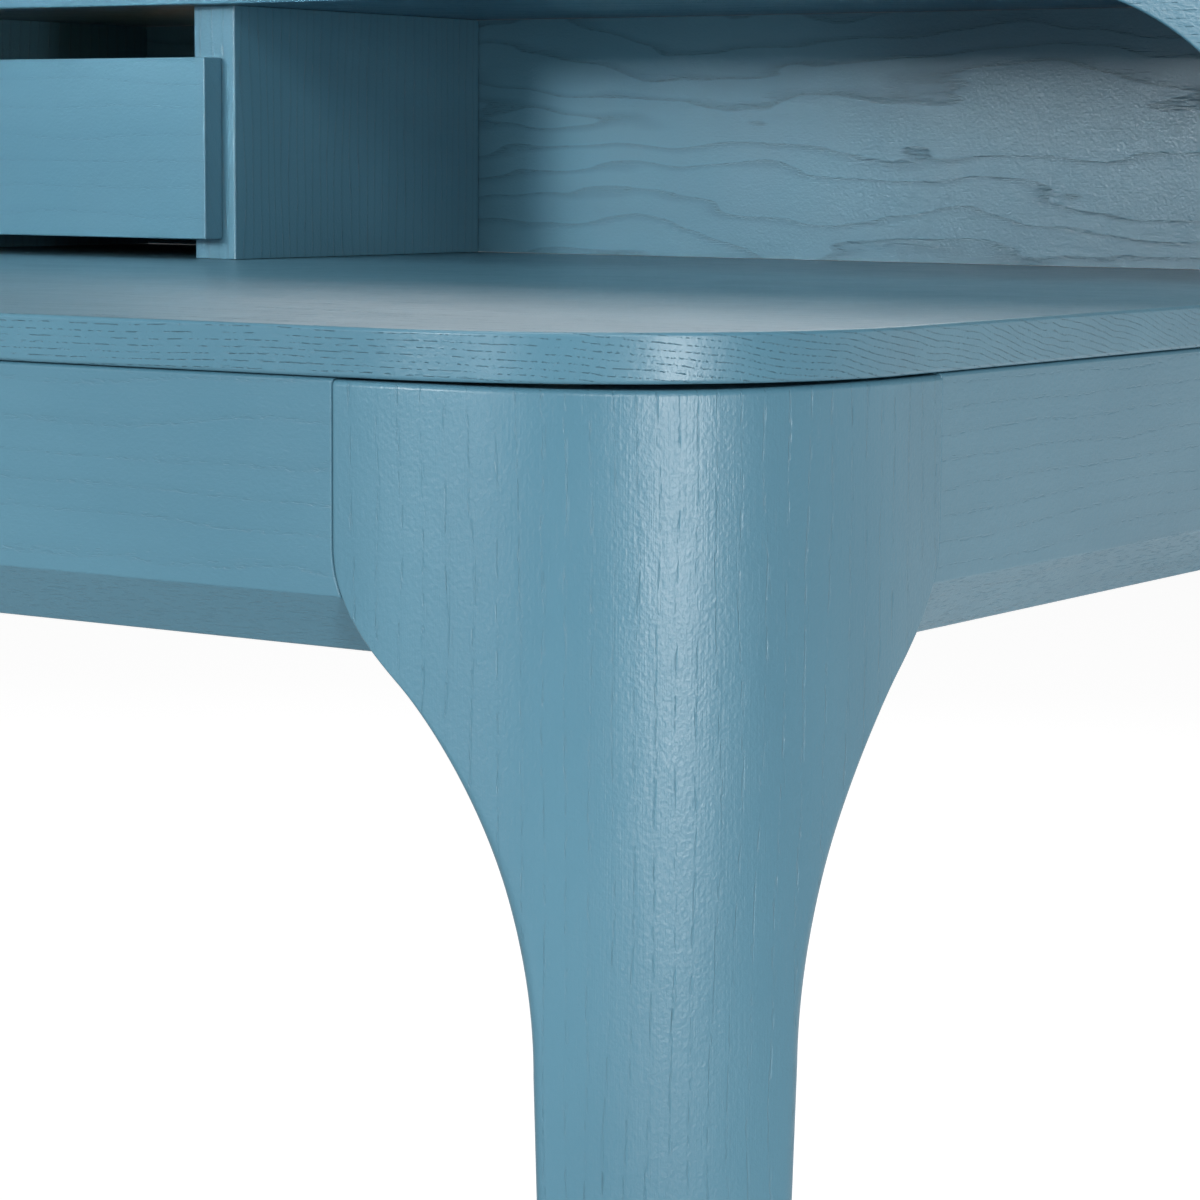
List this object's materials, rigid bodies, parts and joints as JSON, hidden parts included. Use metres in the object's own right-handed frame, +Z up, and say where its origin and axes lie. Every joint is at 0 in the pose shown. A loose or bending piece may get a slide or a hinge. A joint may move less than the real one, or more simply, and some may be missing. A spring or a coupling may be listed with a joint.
{
  "type": "secretary desk",
  "caption": "Lacquered ash secretary desk with flared corner legs, bevelled aprons, a thin rounded worktop and a low arched shelf unit with a small sliding drawer.",
  "frame": {"origin": "on the floor, under the centre of the worktop's outline", "axes": "+X to the sitter's right, along the desk's length; +Y away from the sitter, towards the shelf unit and the wall; +Z up"},
  "size_m": [1.4, 0.7, 0.89],
  "materials": {
    "blue_lacquered_ash": "satin lacquer over open-pored ash",
    "bare_hardwood": "bare sanded timber",
    "drawer_board": "clear matt varnish",
    "zinc_steel": "bright zinc plate",
    "glide_plastic": "matt"
  },
  "bodies": {
    "frame": {"worktop": "blue_lacquered_ash", "front_apron": "blue_lacquered_ash", "rear_apron": "blue_lacquered_ash", "left_apron": "blue_lacquered_ash", "right_apron": "blue_lacquered_ash", "front_left_leg": "blue_lacquered_ash", "front_right_leg": "blue_lacquered_ash", "rear_left_leg": "blue_lacquered_ash", "rear_right_leg": "blue_lacquered_ash", "shelf": "blue_lacquered_ash", "left_curved_end": "blue_lacquered_ash", "right_curved_end": "blue_lacquered_ash", "left_partition": "blue_lacquered_ash", "right_partition": "blue_lacquered_ash", "back_panel": "blue_lacquered_ash", "front_left_corner_block": "bare_hardwood", "front_right_corner_block": "bare_hardwood", "rear_left_corner_block": "bare_hardwood", "rear_right_corner_block": "bare_hardwood", "left_cross_rail": "bare_hardwood", "right_cross_rail": "bare_hardwood", "left_shelf_dowel_1": "bare_hardwood", "left_shelf_dowel_2": "bare_hardwood", "left_end_dowel_1": "bare_hardwood", "left_end_dowel_2": "bare_hardwood", "right_shelf_dowel_1": "bare_hardwood", "right_shelf_dowel_2": "bare_hardwood", "right_end_dowel_1": "bare_hardwood", "right_end_dowel_2": "bare_hardwood", "front_left_leg_bolt": "zinc_steel", "front_right_leg_bolt": "zinc_steel", "rear_left_leg_bolt": "zinc_steel", "rear_right_leg_bolt": "zinc_steel", "front_left_leg_nut": "zinc_steel", "front_right_leg_nut": "zinc_steel", "rear_left_leg_nut": "zinc_steel", "rear_right_leg_nut": "zinc_steel", "left_partition_screw_1": "zinc_steel", "left_partition_screw_2": "zinc_steel", "right_partition_screw_1": "zinc_steel", "right_partition_screw_2": "zinc_steel", "left_runner_rail": "zinc_steel", "right_runner_rail": "zinc_steel", "front_left_glide": "glide_plastic", "front_right_glide": "glide_plastic", "rear_left_glide": "glide_plastic", "rear_right_glide": "glide_plastic"},
    "drawer": {"drawer_front": "blue_lacquered_ash", "drawer_box_front": "drawer_board", "drawer_left_side": "drawer_board", "drawer_right_side": "drawer_board", "drawer_back": "drawer_board", "drawer_floor": "drawer_board", "drawer_front_screw_1": "zinc_steel", "drawer_front_screw_2": "zinc_steel", "left_runner_slide": "zinc_steel", "right_runner_slide": "zinc_steel"}
  },
  "joints": [
    {"name": "drawer_slide", "type": "slide", "parent": "frame", "child": "drawer", "axis": [0, -1, 0], "range_m": [0, 0.13]}
  ]
}
